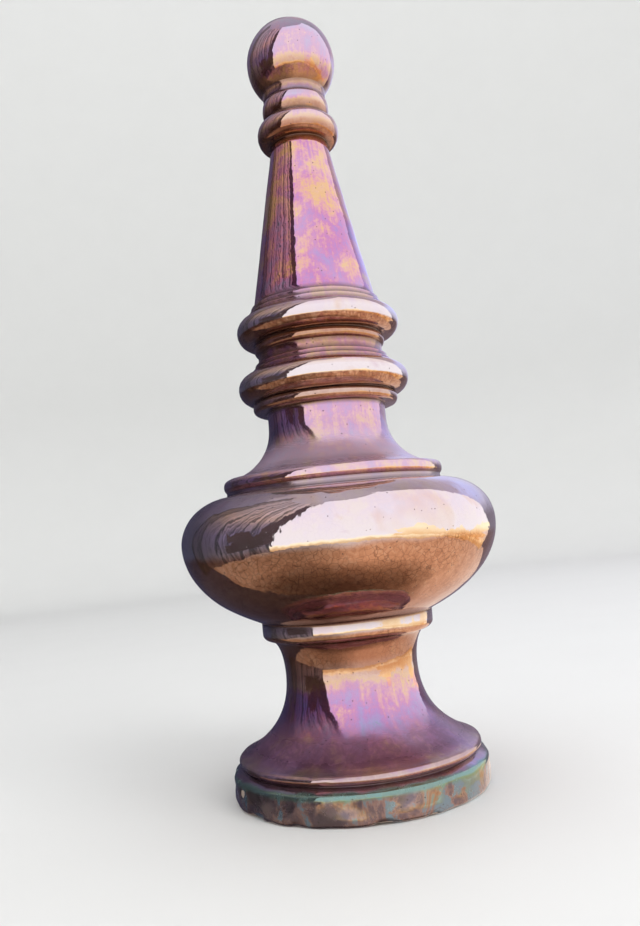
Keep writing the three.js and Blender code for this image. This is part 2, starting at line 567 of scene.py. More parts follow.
def thinned(line: np.ndarray, longest: float, sharpest: float) -> np.ndarray:
    """The points of an evenly stepped outline that its shape needs.

    Args:
        line: The outline.
        longest: The longest step to leave, in millimetres.
        sharpest: The most that the outline turns between two kept points, in degrees.

    Returns:
        The kept points, with the first and the last.
    """
    along = np.diff(line, axis=0)
    lengths = np.linalg.norm(along, axis=1)
    headings = np.unwrap(np.arctan2(along[:, 1], along[:, 0]))
    kept, run, turned = [0], 0.0, 0.0
    for i in range(1, len(line) - 1):
        run += lengths[i - 1]
        turned += abs(headings[i] - headings[i - 1])
        if run >= longest or turned >= math.radians(sharpest):
            kept.append(i)
            run, turned = 0.0, 0.0
    return line[kept + [len(line) - 1]]


@dataclass(frozen=True)
class Unevenness:
    """Slow waves that a hand-finished clay surface has, made from many slanted sine waves."""

    seed: int
    longest: float
    shortest: float
    depth: float
    waves: int = 28

    def at(self, places: np.ndarray) -> np.ndarray:
        """How far the surface stands out at each place, in millimetres.

        Args:
            places: Points in millimetres, one a row.

        Returns:
            One distance for each point.
        """
        chance = np.random.default_rng(self.seed)
        heights = np.zeros(len(places))
        for _ in range(self.waves):
            heading = chance.normal(size=3)
            heading /= np.linalg.norm(heading)
            length = math.exp(chance.uniform(math.log(self.shortest), math.log(self.longest)))
            phase = chance.uniform(0, 2 * math.pi)
            heights += np.sin(places @ heading * (2 * math.pi / length) + phase)
        return heights * self.depth / math.sqrt(self.waves / 2)


@dataclass(frozen=True)
class Chip:
    """A knock where glaze and some clay have gone, or a lump of glaze where its depth is below zero.

    A bearing is in degrees to the right of the front, seen from outside, and sizes are in millimetres.
    It fades out towards its reach, which is counted in half widths and heights.
    """

    bearing: float
    height: float
    width: float
    tall: float
    deep: float
    bare: float = 1.0
    reach: float = 1.3
    first_seed: int = 500

    def share(self, places: np.ndarray, turned: np.ndarray, radius: np.ndarray,
              heights: np.ndarray) -> np.ndarray:
        """How far into the chip each place lies, with a ragged border.

        Args:
            places: Points in millimetres, one a row.
            turned: Their bearings in degrees.
            radius: Their distances from the axis.
            heights: Their heights before they were moved.

        Returns:
            A number from 0, outside, to 1, at its deepest.
        """
        swing = (turned - self.bearing + 180) % 360 - 180
        across = np.radians(swing) * radius / (self.width / 2)
        upright = (heights - self.height) / self.tall
        near = np.clip(self.reach - np.hypot(across, upright), 0, 1)
        edge = Unevenness(self.first_seed + round(self.bearing), longest=9, shortest=3, depth=0.3)
        share = np.clip(near * (1 + edge.at(places)), 0, 1)
        return share * share * (3 - 2 * share)


@dataclass(frozen=True)
class FinialBody:
    """The fired clay piece as one closed mesh with its inside.

    Lengths are in millimetres. Steps are the longest one and the sharpest turn, in degrees, that the
    outline keeps.
    """

    form: FinialForm = FinialForm()
    sides: int = 216
    glaze_softness: float = 0.55
    inside_softness: float = 2.0
    outside_steps: tuple[float, float] = (3.0, 15)
    inside_steps: tuple[float, float] = (9.0, 24)
    crease_reach: float = 1.3
    full_crease: float = 1.1
    swell_limit: float = 0.3
    flat_edge: float = 3
    waves: tuple[Unevenness, ...] = (
        Unevenness(seed=3, longest=120, shortest=50, depth=0.16),
        Unevenness(seed=8, longest=40, shortest=18, depth=0.06),
        Unevenness(seed=21, longest=15, shortest=7, depth=0.012),
    )
    plinth_waves: Unevenness = Unevenness(seed=12, longest=80, shortest=12, depth=0.34)
    plinth_top: float = 19
    dusty: tuple[tuple[float, float, float], ...] = (
        (203, 11, 1.0), (185, 5, 0.55), (190, 4, 0.5), (34, 9, 0.9),
    )
    chips: tuple[Chip, ...] = (
        Chip(-23, 23, 5, 2.2, -0.45, 0),
        Chip(-17, 22.5, 3, 2.0, 0.5, 0),
        Chip(-20, 16.5, 6, 2.6, -0.5, 0),
        Chip(-64, 11, 5, 3, 0.8),
        Chip(-52, 1.0, 26, 2.2, 1.5, 0.2),
        Chip(-30, 1.0, 9, 2.0, 0.9, 0.1),
        Chip(6, 0.5, 14, 1.6, 0.7, 0.5),
        Chip(26, 0.6, 8, 1.6, 0.8, 0.6),
        Chip(84, 0.8, 20, 2.2, 1.0, 0.3),
        Chip(140, 0.8, 12, 2.0, 1.1, 0.6),
        Chip(-150, 0.8, 24, 2.2, 1.2, 0.3),
    )

    def rows(self) -> tuple[np.ndarray, int]:
        """The outline in order: the tip of the hollow, its mouth, the outside and the top.

        Returns:
            The points of the outline, and the number of them that belong to the inside.
        """
        inside = thinned(softened(self.form.inside(), self.inside_softness), *self.inside_steps)
        outside = softened(self.form.outside(), self.glaze_softness, closes_on_axis=True)
        outside = thinned(outside, *self.outside_steps)
        return np.concatenate([inside, outside]), len(inside)

    def build(self) -> bpy.types.Object:
        """Turn the outline about the axis, make it uneven and worn, and link it to the scene.

        Returns:
            The object that holds the mesh.
        """
        rows, inside_count = self.rows()
        places = self._turned(rows)
        bare = self._roughened(places, rows, inside_count)
        mesh = bpy.data.meshes.new("finial_body")
        mesh.from_pydata((places * MM).tolist(), [], self._faces(len(rows)))
        marks = {"bare": bare, "crease": self._creases(rows), "dust": self._dust(rows)}
        for name, values in marks.items():
            mesh.attributes.new(name, "FLOAT", "POINT").data.foreach_set("value", values.astype(np.float32))
        mesh.polygons.foreach_set("use_smooth", [True] * len(mesh.polygons))
        mesh.update()
        mesh.validate()
        body = bpy.data.objects.new("finial_body", mesh)
        bpy.context.scene.collection.objects.link(body)
        LOG.info("finial_body: %d rows, %d faces", len(rows), len(mesh.polygons))
        return body

    def _turned(self, rows: np.ndarray) -> np.ndarray:
        """Points of the turned surface, before it is made uneven.

        Args:
            rows: The outline, with both its ends on the axis.

        Returns:
            The two ends first, then one ring of points for each other row, in millimetres.
        """
        bearings = np.linspace(0, 2 * math.pi, self.sides, endpoint=False)
        rings = rows[1:-1]
        x = rings[:, :1] * np.sin(bearings)
        y = -rings[:, :1] * np.cos(bearings)
        z = np.repeat(rings[:, 1:], self.sides, axis=1)
        ends = np.array([[0, 0, rows[0, 1]], [0, 0, rows[-1, 1]]])
        return np.concatenate([ends, np.stack([x, y, z], axis=2).reshape(-1, 3)])

    def _faces(self, row_count: int) -> list[tuple[int, ...]]:
        """Faces of the turned surface.

        Args:
            row_count: How many rows the outline has.

        Returns:
            The corners of each face, in the order that makes it face out of the clay.
        """
        sides, last = self.sides, row_count - 3
        ring = np.arange(sides)
        after = (ring + 1) % sides
        faces = [(0, 2 + b, 2 + a) for a, b in zip(ring.tolist(), after.tolist())]
        for row in range(last):
            low, high = 2 + row * sides, 2 + (row + 1) * sides
            faces += np.stack([low + ring, low + after, high + after, high + ring], axis=1).tolist()
        top = 2 + last * sides
        faces += [(1, top + a, top + b) for a, b in zip(ring.tolist(), after.tolist())]
        return faces

    def _creases(self, rows: np.ndarray) -> np.ndarray:
        """How deep in a crease between two mouldings each point lies.

        Args:
            rows: The outline that the points were turned from.

        Returns:
            A number from 0 to 1 for each point.
        """
        along = np.diff(rows, axis=0)
        headings = np.unwrap(np.arctan2(along[:, 1], along[:, 0]))
        inward = np.zeros(len(rows))
        inward[1:-1] = np.maximum(-np.diff(headings), 0)
        lengths = np.concatenate([[0], np.cumsum(np.linalg.norm(along, axis=1))])
        near = np.exp(-((lengths[:, None] - lengths[None, :]) / self.crease_reach) ** 2)
        depth = np.clip(near @ inward / self.full_crease, 0, 1)
        return np.concatenate([[0.0, 0.0], np.repeat(depth[1:-1], self.sides)])

    def _dust(self, rows: np.ndarray) -> np.ndarray:
        """How much dust dulls each point: it lies in bands of a height, a reach and a strength.

        Args:
            rows: The outline that the points were turned from.

        Returns:
            A number from 0 to 1 for each point.
        """
        dust = np.zeros(len(rows))
        for height, reach, strength in self.dusty:
            dust = np.maximum(dust, strength * np.exp(-((rows[:, 1] - height) / reach) ** 2))
        return np.concatenate([[0.0, 0.0], np.repeat(dust[1:-1], self.sides)])

    def _roughened(self, places: np.ndarray, rows: np.ndarray, inside_count: int) -> np.ndarray:
        """Move the outer points by the waves and the chips, in place.

        Args:
            places: Every point in millimetres, which this changes.
            rows: The outline that the points were turned from.
            inside_count: How many rows of it belong to the inside.

        Returns:
            How bare of glaze each point is, from 0 to 1.
        """
        along = np.gradient(rows, axis=0)
        along /= np.maximum(np.linalg.norm(along, axis=1), 1e-9)[:, None]
        out, up = along[1:-1, 1], -along[1:-1, 0]
        bearings = np.linspace(0, 2 * math.pi, self.sides, endpoint=False)
        normals = np.stack([
            out[:, None] * np.sin(bearings),
            -out[:, None] * np.cos(bearings),
            np.repeat(up[:, None], self.sides, axis=1),
        ], axis=2).reshape(-1, 3)
        body = places[2:]
        heights = body[:, 2].copy()
        row_index = np.repeat(np.arange(1, len(rows) - 1), self.sides)
        outer = row_index >= inside_count
        stand = sum(wave.at(body) for wave in self.waves)
        stand = np.minimum(stand, self.swell_limit) * np.clip(heights / self.flat_edge, 0, 1)
        stand += self.plinth_waves.at(body) * np.clip((self.plinth_top - heights) / self.flat_edge, 0, 1)
        bare = np.where(outer, 0.0, 1.0)
        turned = np.degrees(np.tile(bearings, len(rows) - 2))
        radius = np.hypot(body[:, 0], body[:, 1])
        for chip in self.chips:
            share = chip.share(body, turned, radius, heights) * outer
            stand -= share * chip.deep
            bare = np.maximum(bare, share * chip.bare)
        body += normals * (stand * outer)[:, None]
        body[:, 2] = np.maximum(body[:, 2], 0)
        return np.concatenate([[1.0, 0.0], bare])


class Film(Enum):
    """Colours of the lustre film, as linear red, green and blue."""

    CREAM = (0.63, 0.58, 0.60)
    PEACH = (0.60, 0.46, 0.38)
    MAUVE = (0.54, 0.43, 0.49)
    # Plum is the colour of the painted shade low on the piece.
    PLUM = (0.17, 0.08, 0.14)
    COPPER = (0.51, 0.27, 0.16)
    TAN = (0.59, 0.37, 0.25)
    BROWN = (0.38, 0.185, 0.105)
    # Rust-red is the colour of the painted shade higher up and on the upper undersides.
    RUST_SHADE = (0.24, 0.075, 0.04)
    GOLD = (0.60, 0.38, 0.19)
    ROSE = (0.56, 0.29, 0.31)
    MAGENTA = (0.46, 0.19, 0.37)
    VIOLET = (0.37, 0.20, 0.43)
    BLUE = (0.29, 0.26, 0.47)
    TEAL = (0.16, 0.28, 0.25)
    BRONZE = (0.16, 0.12, 0.14)
    DARK_BRONZE = (0.11, 0.095, 0.10)
    SAND = (0.33, 0.22, 0.19)
    AQUA = (0.19, 0.30, 0.38)
    CRACK = (0.14, 0.055, 0.03)
    # Near-black of the pits, and of the grime and painted shade in the creases.
    DIRT_AND_SHADE = (0.05, 0.03, 0.03)


class Wiring:
    """Short names for the shader nodes that the finishes are made of."""

    def __init__(self, name: str) -> None:
        """Start an empty material.

        Args:
            name: The material's name.
        """
        self.material = bpy.data.materials.new(name)
        self.material.use_nodes = True
        self.tree = self.material.node_tree
        self.tree.nodes.clear()

    def add(self, kind: str, **values: object) -> bpy.types.Node:
        """Add a node and set its own options.

        Args:
            kind: The type of node.
            values: Its options, by name.

        Returns:
            The node.
        """
        node = self.tree.nodes.new(kind)
        for key, value in values.items():
            setattr(node, key, value)
        return node

    def feed(self, node: bpy.types.Node, name: str | int, value: object) -> None:
        """Link a socket to an input, or set the input's own value.

        Args:
            node: The node that has the input.
            name: The input's name or number.
            value: A socket, or the value itself.
        """
        if isinstance(value, bpy.types.NodeSocket):
            self.tree.links.new(value, node.inputs[name])
        else:
            node.inputs[name].default_value = value

    def maths(self, operation: str, *inputs: object, clamp: bool = False) -> bpy.types.NodeSocket:
        """Arithmetic on sockets or numbers.

        Args:
            operation: What is worked out.
            inputs: The sockets or numbers, in order.
            clamp: Whether the result is kept between 0 and 1.

        Returns:
            The result.
        """
        node = self.add("ShaderNodeMath", operation=operation, use_clamp=clamp)
        for index, value in enumerate(inputs):
            self.feed(node, index, value)
        return node.outputs[0]

    def vector(self, operation: str, *inputs: object) -> bpy.types.NodeSocket:
        """Arithmetic on vectors.

        Args:
            operation: What is worked out.
            inputs: The sockets or vectors, in order.

        Returns:
            The result.
        """
        node = self.add("ShaderNodeVectorMath", operation=operation)
        for index, value in enumerate(inputs):
            self.feed(node, index, value)
        return node.outputs[0]

    def noise(self, place: object, scale: float, detail: float = 2, rough: float = 0.5,
              twist: float = 0) -> bpy.types.NodeSocket:
        """Soft random clouds between 0 and 1.

        Args:
            place: The coordinates to read.
            scale: Clouds to the metre.
            detail: How many finer layers are added.
            rough: How strong the finer layers are.
            twist: How far the clouds are pulled about.

        Returns:
            The strength of the clouds.
        """
        node = self.add("ShaderNodeTexNoise")
        self.feed(node, "Vector", place)
        self.feed(node, "Scale", scale)
        self.feed(node, "Detail", detail)
        self.feed(node, "Roughness", rough)
        self.feed(node, "Distortion", twist)
        return node.outputs["Fac"]

    def cells(self, place: object, scale: float, feature: str = "F1") -> bpy.types.Node:
        """A field of random cells.

        Args:
            place: The coordinates to read.
            scale: Cells to the metre.
            feature: What is measured in each cell.

        Returns:
            The node, for its distances and its colours.
        """
        node = self.add("ShaderNodeTexVoronoi", feature=feature)
        self.feed(node, "Vector", place)
        self.feed(node, "Scale", scale)
        return node

    def spread(self, value: object, low: float, high: float, to_low: float = 0,
               to_high: float = 1) -> bpy.types.NodeSocket:
        """Stretch a range of values smoothly over another one.

        Args:
            value: The socket to read.
            low: Value that becomes to_low.
            high: Value that becomes to_high.
            to_low: The new low end.
            to_high: The new high end.

        Returns:
            The stretched value.
        """
        node = self.add("ShaderNodeMapRange", interpolation_type="SMOOTHSTEP")
        for name, number in zip(("Value", "From Min", "From Max", "To Min", "To Max"),
                                (value, low, high, to_low, to_high)):
            self.feed(node, name, number)
        return node.outputs[0]

    def ramp(self, value: object, stops: list[tuple[float, Colour]]) -> bpy.types.NodeSocket:
        """Colours along a range.

        Args:
            value: The place along the range, from 0 to 1.
            stops: Places and their colours.

        Returns:
            The colour.
        """
        node = self.add("ShaderNodeValToRGB")
        marks = node.color_ramp.elements
        marks[0].position, marks[1].position = stops[0][0], stops[-1][0]
        for place, _ in stops[1:-1]:
            marks.new(place)
        for mark, (_, colour) in zip(marks, stops):
            mark.color = (*colour, 1)
        self.feed(node, "Fac", value)
        return node.outputs["Color"]

    def blend(self, share: object, first: object, second: object, mode: str = "MIX") -> bpy.types.NodeSocket:
        """Mix two colours.

        Args:
            share: How much of the second one to take.
            first: A colour or a socket.
            second: A colour or a socket.
            mode: The way they are mixed.

        Returns:
            The mixed colour.
        """
        node = self.add("ShaderNodeMix", data_type="RGBA", blend_type=mode)
        self.feed(node, 0, share)
        for index, value in ((6, first), (7, second)):
            if not isinstance(value, bpy.types.NodeSocket):
                value = (*value, 1)
            self.feed(node, index, value)
        return node.outputs[2]

    def bump(self, height: object, distance: float, below: object = None) -> bpy.types.NodeSocket:
        """Fine relief.

        Args:
            height: The height field.
            distance: How far a height of 1 stands out, in metres.
            below: The normal of a coarser relief, where there is one.

        Returns:
            The changed normal.
        """
        node = self.add("ShaderNodeBump")
        self.feed(node, "Height", height)
        self.feed(node, "Distance", distance)
        self.feed(node, "Strength", 1.0)
        if below is not None:
            self.feed(node, "Normal", below)
        return node.outputs["Normal"]


@dataclass(frozen=True)
class Bloom:
    """How the film looks at one height, in millimetres.

    Strength is how much it shimmers, order its place among the film's colours and dusk how far painted shade
    darkens it, all from 0 to 1.
    """

    height: float
    strength: float
    order: float
    painted_shade: float = 0.0


@dataclass(frozen=True)
class LustreGlaze:
    """Copper lustre over glazed clay: a bright metal film with clouds, streaks, crackle and pits.

    Scales are counts to the metre. Heights and depths are in metres, and those of the blooms in
    millimetres.
    """

    tall: float = 0.5
    clouds: float = 62
    fine_clouds: float = 420
    crackle: float = 310
    crackle_width: float = 0.065
    crackle_strength: float = 0.6
    pits: float = 520
    pit_size: tuple[float, float] = (0.12, 0.24)
    pit_choice: float = 0.93
    pit_strength: float = 0.85
    # How far the creases darken: partly grime, partly painted shade.
    crease_dirt_and_shade: float = 0.7
    clay: Colour = (0.42, 0.33, 0.27)
    tilt_wander: float = 0.12
    # Partly the film's own copper and partly painted reflection: faces that turn down take a copper-brown
    # for the brown table they would mirror. The border rises with height as the mirrored horizon does. Level
    # and upward faces stay cream.
    turn_by_height: float = 0.85
    turn_to_copper_reflection: tuple[float, float] = (-0.09, 0.05)
    turn_to_satin: tuple[float, float] = (0.20, 0.60)
    turn_to_rust_shade: tuple[float, float] = (0.19, 0.25)
    plum_below: tuple[float, float] = (0.050, 0.060)
    disc_top: tuple[float, float] = (0.0185, 0.0200)
    disc_wander: float = 0.003
    # How far the plinth's colours shift from left to right: painted shade on the left, painted light on the
    # right.
    disc_painted_side_light: float = 0.75
    teal_from: tuple[float, float] = (0.0155, 0.0185)
    metal: float = 0.95
    disc_loss: float = 0.15
    dust_loss: float = 0.45
    gloss: tuple[float, float] = (0.03, 0.06)
    disc_roughness: float = 0.25
    dust_roughness: float = 0.30
    crease_roughness: float = 0.25
    clay_roughness: float = 0.5
    coat: float = 0.25
    coat_roughness: float = 0.03
    ripple_depth: float = 0.0003
    peel_depth: float = 0.00002
    pit_depth: float = 0.0001
    grit_depth: float = 0.0006
    # The fourth number of a bloom is painted shade. It darkens the bead, the foot's flare where it mirrors
    # the bulge's underside, the bulge's underside, and the undersides and waists of the rings and the ball.
    blooms: tuple[Bloom, ...] = (
        Bloom(17, 0.6, 0.75, 0.3), Bloom(20, 0.30, 0.45, 0.60), Bloom(24, 0.30, 0.30, 0.4),
        Bloom(26, 0.60, 0.50, 0.5), Bloom(29, 0.95, 0.55, 0.95), Bloom(38, 0.95, 0.62, 0.80),
        Bloom(46, 0.95, 0.70, 0.15), Bloom(54, 0.95, 0.60), Bloom(62, 0.85, 0.52),
        Bloom(69, 0.80, 0.28, 0.1), Bloom(75, 0.70, 0.08, 0.3), Bloom(90, 0.80, 0.05, 0.45),
        Bloom(94, 0.06, 0.20), Bloom(102, 0.06, 0.20, 0.1), Bloom(106, 0.10, 0.10, 0.75),
        Bloom(113, 0.10, 0.15, 0.6), Bloom(124, 0.10, 0.20, 0.1), Bloom(150, 0.04, 0.20),
        Bloom(166, 0.18, 0.58), Bloom(182, 0.25, 0.50, 0.1),
        Bloom(190, 0.60, 0.50), Bloom(200, 0.30, 0.60), Bloom(212, 0.55, 0.60), Bloom(218, 0.72, 0.60),
        Bloom(233, 0.74, 0.57), Bloom(236, 0.50, 0.20, 0.55), Bloom(240, 0.50, 0.25, 0.35),
        Bloom(246, 0.06, 0.2), Bloom(253, 0.06, 0.2),
    )
    high_blooms: tuple[Bloom, ...] = (
        Bloom(253, 0.06, 0.2), Bloom(258, 0.85, 0.52, 0.28), Bloom(264, 0.85, 0.50, 0.38),
        Bloom(268, 0.85, 0.44, 0.5), Bloom(277, 0.85, 0.22, 0.6), Bloom(281, 0.10, 0.3, 0.1),
        Bloom(290, 0.08, 0.5), Bloom(294, 0.55, 0.50, 0.25), Bloom(301, 0.60, 0.52, 0.2),
        Bloom(306, 1.0, 0.62), Bloom(322, 1.0, 0.56), Bloom(370, 1.0, 0.47),
        # At the small torus, the astragal and the ball, a gold line at the lower edge of each highlight,
        # with painted shade under it, is painted reflection of the window's lower border.
        Bloom(408, 1.0, 0.46), Bloom(413, 0.95, 0.06, 0.8), Bloom(417, 0.95, 0.12, 0.6),
        Bloom(419, 0.90, 0.25, 0.1), Bloom(421, 0.55, 0.50), Bloom(427, 0.55, 0.66, 0.1),
        Bloom(430, 0.80, 0.20, 0.7), Bloom(433, 0.95, 0.12, 0.6), Bloom(434.8, 0.90, 0.26, 0.1),
        Bloom(436.5, 0.55, 0.52), Bloom(443, 0.55, 0.66, 0.2), Bloom(447, 0.80, 0.20, 0.5),
        Bloom(455, 0.70, 0.45, 0.50), Bloom(458, 0.90, 0.26, 0.35), Bloom(460, 0.85, 0.30, 0.05),
        Bloom(463, 0.62, 0.55), Bloom(470, 0.58, 0.64), Bloom(484, 0.60, 0.72),
        Bloom(497, 0.50, 0.60, 0.1),
    )

    def material(self) -> bpy.types.Material:
        """Build the finish from the heights, the way the surface faces and the mesh's own marks.

        Returns:
            The material.
        """
        w = Wiring(SLOT)
        texture = w.add("ShaderNodeTexCoord")
        place = texture.outputs["Object"]
        tilt = w.add("ShaderNodeSeparateXYZ")
        w.feed(tilt, 0, texture.outputs["Normal"])
        upward = w.maths("MULTIPLY_ADD", w.noise(place, 40, 2), self.tilt_wander, tilt.outputs["Z"])
        upright = w.add("ShaderNodeSeparateXYZ")
        w.feed(upright, 0, place)
        height = upright.outputs["Z"]
        shader = w.add("ShaderNodeBsdfPrincipled")
        w.tree.links.new(shader.outputs[0], w.add("ShaderNodeOutputMaterial").inputs[0])
        marked = w.add("ShaderNodeAttribute", attribute_name="bare").outputs["Fac"]
        bare = w.spread(w.maths("MULTIPLY_ADD", w.noise(place, 420, 3), 0.4, marked), 0.5, 0.62)
        crease = w.add("ShaderNodeAttribute", attribute_name="crease").outputs["Fac"]
        dust = w.add("ShaderNodeAttribute", attribute_name="dust").outputs["Fac"]
        # Painted reflection over the film's copper: the mask for copper-brown on downward faces, with its
        # border shifted by height.
        low, high = self.turn_to_copper_reflection
        down = w.spread(w.maths("MULTIPLY_ADD", height, self.turn_by_height, upward), low, high, 1, 0)
        dust = w.maths("MULTIPLY", dust, w.spread(upward, *self.turn_to_satin))
        edge = w.maths("MULTIPLY_ADD", w.noise(place, 90, 2), self.disc_wander, height)
        disc = w.spread(edge, *self.disc_top, 1, 0)
        colour = self._shimmer_and_painted_shade(w, place, height, self._ground(w, place, height, down, dust))
        colour = w.blend(disc, colour, self._disc_film(w, place, height))
        colour = self._flaws_and_crease_shade(w, place, colour, crease, down)
        w.feed(shader, "Base Color", w.blend(bare, colour, self.clay))
        metal = w.maths("MULTIPLY_ADD", dust, -self.dust_loss, self.metal)
        metal = w.maths("MULTIPLY_ADD", disc, -self.disc_loss, metal)
        w.feed(shader, "Metallic", w.maths("MULTIPLY", metal, w.maths("SUBTRACT", 1, bare)))
        w.feed(shader, "Roughness", self._roughness(w, place, disc, dust, crease, bare))
        w.feed(shader, "Coat Weight", self.coat)
        w.feed(shader, "Coat Roughness", self.coat_roughness)
        w.feed(shader, "Normal", self._relief(w, place, bare))
        return w.material

    def _roughness(self, w: Wiring, place: object, disc: object, dust: object, crease: object,
                   bare: object) -> bpy.types.NodeSocket:
        """Patchy gloss, duller on the plinth's side, under dust, in creases and on bare clay.

        Args:
            w: The finish's wiring.
            place: The coordinates to read.
            disc: Whether it is the plinth's side.
            dust: How much dust lies on it.
            crease: How deep in a crease it lies.
            bare: How bare of glaze it is.

        Returns:
            The roughness.
        """
        patches = w.noise(place, 140, 4, 0.6)
        gloss = w.spread(patches, 0.3, 0.75, *self.gloss)
        worn = w.maths("MULTIPLY", disc, self.disc_roughness)
        gloss = w.maths("MULTIPLY_ADD", w.spread(patches, 0.40, 0.65), worn, gloss)
        gloss = w.maths("MULTIPLY_ADD", dust, self.dust_roughness, gloss)
        gloss = w.maths("MULTIPLY_ADD", crease, self.crease_roughness, gloss)
        return w.maths("MULTIPLY_ADD", bare, self.clay_roughness, gloss, clamp=True)

    def _disc_film(self, w: Wiring, place: object, height: object) -> bpy.types.NodeSocket:
        """Bronze, sand and aqua smudges on the plinth's side, with a teal band under its upper edge.

        Args:
            w: The finish's wiring.
            place: The coordinates to read.
            height: Height over the underside.

        Returns:
            The colour, which turns from dark bronze on the left to aqua on the right: painted shade on the
            left and painted light on the right, over the film's own smudges.
        """
        stretched = w.vector("MULTIPLY", place, (1, 1, 0.7))
        smudges = w.noise(stretched, 58, 5, 0.66, 0.5)
        across = w.add("ShaderNodeSeparateXYZ")
        w.feed(across, 0, place)
        # Painted light: the smudges shift with the left-to-right place, so the plinth's side is darker on
        # the left and lighter on the right.
        smudges = w.maths("MULTIPLY_ADD", across.outputs["X"], self.disc_painted_side_light, smudges)
        colour = w.ramp(smudges, [
            (0.32, Film.DARK_BRONZE.value), (0.45, Film.BRONZE.value), (0.52, Film.SAND.value),
            (0.565, Film.AQUA.value), (0.66, Film.AQUA.value), (0.74, Film.SAND.value),
        ])
        colour = w.blend(0.2, colour, Film.BRONZE.value)
        band = w.spread(w.maths("MULTIPLY_ADD", smudges, 2 * self.disc_wander, height), *self.teal_from)
        return w.blend(w.maths("MULTIPLY", band, 0.85), colour, Film.TEAL.value)

    def _ground(self, w: Wiring, place: object, height: object, down: object,
                dust: object) -> bpy.types.NodeSocket:
        """Colour under the shimmer.

        Args:
            w: The finish's wiring.
            place: The coordinates to read.
            height: Height over the underside.
            down: How far the glaze faces down, where it is mottled copper, and rust-red above the neck: the
                film's copper with painted reflection of the brown table, and painted shade higher up.
            dust: How much dust lies on it, where it is dull mauve.

        Returns:
            The colour: cream to peach on the upright and upward parts, and copper on the downward ones as
                painted reflection.
        """
        broad = w.noise(place, 22, 3, 0.55, 0.6)
        mottle = w.noise(place, 240, 5, 0.7, 0.8)
        # Copper-brown for downward faces: the film's copper, with painted reflection of the brown table
        # below.
        copper = w.ramp(w.maths("MULTIPLY_ADD", mottle, 0.75, w.maths("MULTIPLY", broad, 0.30)), [
            (0.38, Film.BROWN.value), (0.52, Film.COPPER.value), (0.68, Film.TAN.value),
        ])
        rust = w.ramp(mottle, [(0.40, Film.RUST_SHADE.value), (0.52, Film.BROWN.value), (0.66, Film.TAN.value)])
        # Higher up, the downward faces darken to rust-red: painted shade.
        copper = w.blend(w.spread(height, *self.turn_to_rust_shade, 0, 0.8), copper, rust)
        cream = w.ramp(broad, [
            (0.28, Film.PEACH.value), (0.40, Film.CREAM.value), (0.60, Film.CREAM.value),
            (0.70, Film.MAUVE.value),
        ])
        return w.blend(dust, w.blend(down, cream, copper), Film.MAUVE.value)

    def _by_height(self, w: Wiring, height: object, blooms: tuple[Bloom, ...]) -> bpy.types.NodeSocket:
        """Strength, order and painted shade at each height.

        Args:
            w: The finish's wiring.
            height: Height over the underside.
            blooms: The looks at single heights, from the lowest up.

        Returns:
            The three of them, as the parts of one colour.
        """
        stops = [
            (bloom.height * MM / self.tall, (bloom.strength, bloom.order, bloom.painted_shade)) for bloom in blooms
        ]
        return w.ramp(w.maths("DIVIDE", height, self.tall), stops)

    def _shimmer_and_painted_shade(self, w: Wiring, place: object, height: object,
                 ground: object) -> bpy.types.NodeSocket:
        """Clouds of gold, rose, violet, blue and teal over the ground colour, and the bands of painted
        shade.

        Args:
            w: The finish's wiring.
            place: The coordinates to read.
            height: Height over the underside.
            ground: The colour under the clouds.

        Returns:
            The colour with the clouds and the painted shade.
        """
        low, high = (self._by_height(w, height, blooms) for blooms in (self.blooms, self.high_blooms))
        border = self.blooms[-1].height * MM
        parts = w.add("ShaderNodeSeparateColor")
        w.feed(parts, 0, w.blend(w.maths("GREATER_THAN", height, border), low, high))
        strength, order, painted_shade = parts.outputs
        clouds = w.noise(place, self.clouds, 4, 0.55, 0.5)
        fine = w.noise(place, self.fine_clouds, 3, 0.6, 0.4)
        round_it = w.vector("NORMALIZE", w.vector("MULTIPLY", place, (1, 1, 0)))
        streaks = w.noise(w.vector("MULTIPLY_ADD", place, (0, 0, 1.5), round_it), 12, 4, 0.6, 0.3)
        film = w.maths("MULTIPLY_ADD", w.maths("SUBTRACT", clouds, 0.5), 1.0, order)
        film = w.maths("MULTIPLY_ADD", w.maths("SUBTRACT", fine, 0.5), 0.30, film)
        film = w.maths("MULTIPLY_ADD", w.maths("SUBTRACT", streaks, 0.5), 0.40, film)
        colour = w.ramp(w.maths("DIVIDE", film, 1.2), [
            (0.04, Film.COPPER.value), (0.16, Film.TAN.value), (0.28, Film.GOLD.value),
            (0.38, Film.ROSE.value), (0.47, Film.MAGENTA.value), (0.57, Film.VIOLET.value),
            (0.72, Film.BLUE.value), (0.86, Film.TEAL.value),
        ])
        patchy = w.spread(w.noise(place, 34, 3, 0.5, 0.5), 0.25, 0.6, 0.85, 1)
        colour = w.blend(w.maths("MULTIPLY", strength, patchy), ground, colour)
        # Painted shade: plum low down and rust-red higher up darken the bands that the blooms give.
        shade = w.blend(w.spread(height, *self.plum_below), Film.PLUM.value, Film.RUST_SHADE.value)
        mottled = w.spread(w.noise(place, 150, 5, 0.7, 0.6), 0.35, 0.60, 0.75, 1.05)
        return w.blend(w.maths("MULTIPLY", painted_shade, mottled), colour, shade)

